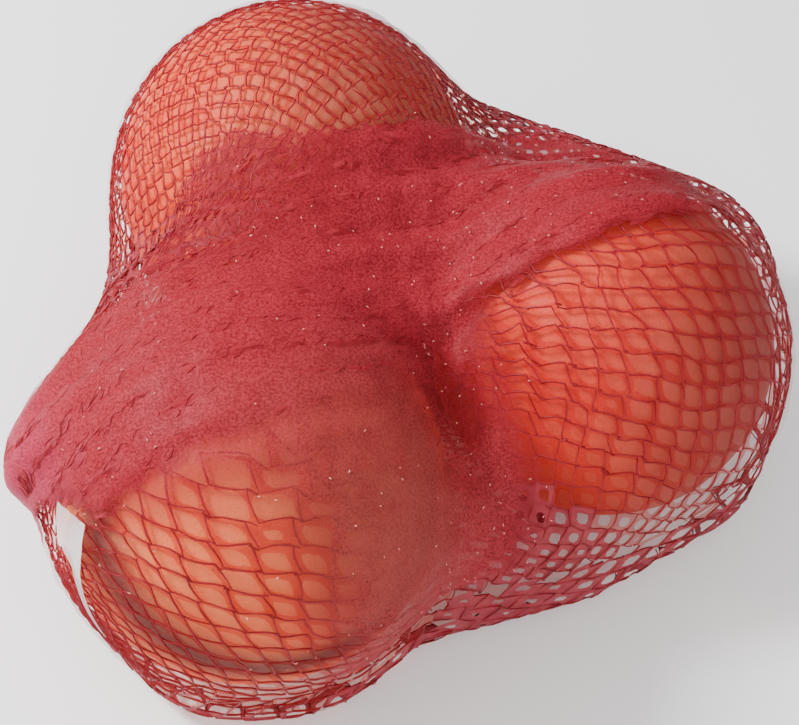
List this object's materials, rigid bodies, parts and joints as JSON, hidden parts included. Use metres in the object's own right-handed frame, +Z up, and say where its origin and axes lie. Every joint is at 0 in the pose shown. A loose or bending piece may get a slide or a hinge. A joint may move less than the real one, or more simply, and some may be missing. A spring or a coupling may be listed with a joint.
{
  "type": "net of pomelos",
  "caption": "Slack knitted net bag holding large round citrus fruit in a loose triangle, its mouth folded back over the top, with a bare white film strip.",
  "frame": {"origin": "centre of the bounding box's bottom face, on the surface that the bag lies on", "axes": "+Z up, +Y away from the viewer of the picture, +X to the viewer's right"},
  "size_m": [0.2232, 0.2255, 0.1134],
  "materials": {
    "net": "thin knitted raspberry-red plastic tape, see-through where it lies flat, with small glints",
    "film": "thin milky white plastic film",
    "peel": "waxy orange-yellow citrus peel with fine oil-gland pits"
  },
  "bodies": {
    "root": {"net_bag": "net", "label_strip": "film"}
  },
  "joints": []
}
